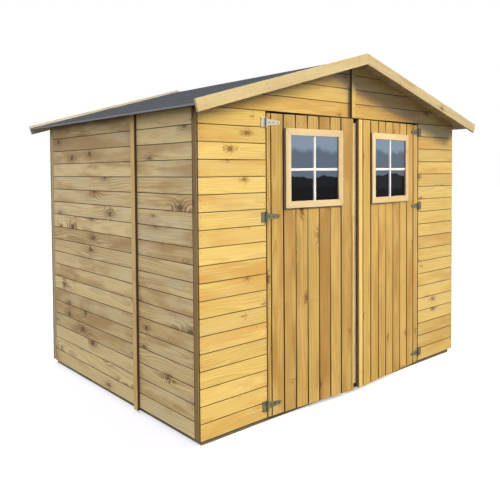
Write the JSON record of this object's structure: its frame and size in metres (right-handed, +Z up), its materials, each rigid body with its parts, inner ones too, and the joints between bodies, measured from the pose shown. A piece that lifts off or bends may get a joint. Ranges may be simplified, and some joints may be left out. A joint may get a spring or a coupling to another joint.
{
  "type": "garden shed",
  "caption": "Apex timber garden shed on a low base, hollow inside, with horizontal board walls, felt roof and a pair of glazed outward-opening doors in the gable end.",
  "frame": {"origin": "on the ground at the centre of the footprint", "axes": "+Z up, +Y from the door end to the rear, +X to the right seen from the front"},
  "size_m": [2.6116, 2.1, 2.1262],
  "materials": {
    "wall_timber": "satin",
    "door_timber": "satin",
    "framing_timber": "matte",
    "base_timber": "matte",
    "planed_timber": "satin",
    "bargeboard_timber": "satin",
    "roof_timber": "matte",
    "roofing_felt": "matte",
    "galvanised_steel": "satin",
    "window_glass": "gloss"
  },
  "bodies": {
    "shed": {"base_side_rails": "base_timber", "base_cross_rails": "base_timber", "floor_deck": "framing_timber", "front_wall_left": "wall_timber", "front_wall_right": "wall_timber", "front_gable_left": "wall_timber", "front_gable_right": "wall_timber", "rear_wall_left": "wall_timber", "rear_wall_right": "wall_timber", "left_wall_front": "wall_timber", "left_wall_rear": "wall_timber", "right_wall_front": "wall_timber", "right_wall_rear": "wall_timber", "side_wall_battens": "wall_timber", "front_gable_batten": "wall_timber", "rear_wall_batten": "wall_timber", "front_wall_posts": "framing_timber", "door_head_rail": "framing_timber", "rear_wall_posts": "framing_timber", "gable_rafters": "framing_timber", "door_sill": "framing_timber", "wall_bottom_plates": "framing_timber", "wall_top_plates": "framing_timber", "left_wall_studs": "framing_timber", "right_wall_studs": "framing_timber", "roof_purlins": "framing_timber", "roof_boards_left": "roof_timber", "roof_boards_right": "roof_timber", "roof_felt": "roofing_felt", "bargeboard_front_left": "bargeboard_timber", "bargeboard_front_right": "bargeboard_timber", "bargeboard_rear_left": "bargeboard_timber", "bargeboard_rear_right": "bargeboard_timber", "hinge_plates": "galvanised_steel"},
    "left_door": {"left_door_boards": "door_timber", "left_door_ledges": "framing_timber", "left_door_meeting_strip": "door_timber", "left_door_window_frame": "planed_timber", "left_door_glass": "window_glass", "left_door_hinge_straps": "galvanised_steel"},
    "right_door": {"right_door_boards": "door_timber", "right_door_ledges": "framing_timber", "right_door_window_frame": "planed_timber", "right_door_glass": "window_glass", "right_door_hinge_straps": "galvanised_steel"}
  },
  "joints": [
    {"name": "left_door_hinge", "type": "hinge", "parent": "shed", "child": "left_door", "pos_m": [-0.739, -0.926, 0.9], "axis": [0, 0, -1], "range_deg": [-4.5, 145]},
    {"name": "right_door_hinge", "type": "hinge", "parent": "shed", "child": "right_door", "pos_m": [0.739, -0.926, 0.9], "axis": [0, 0, 1], "range_deg": [-4.5, 145]}
  ]
}
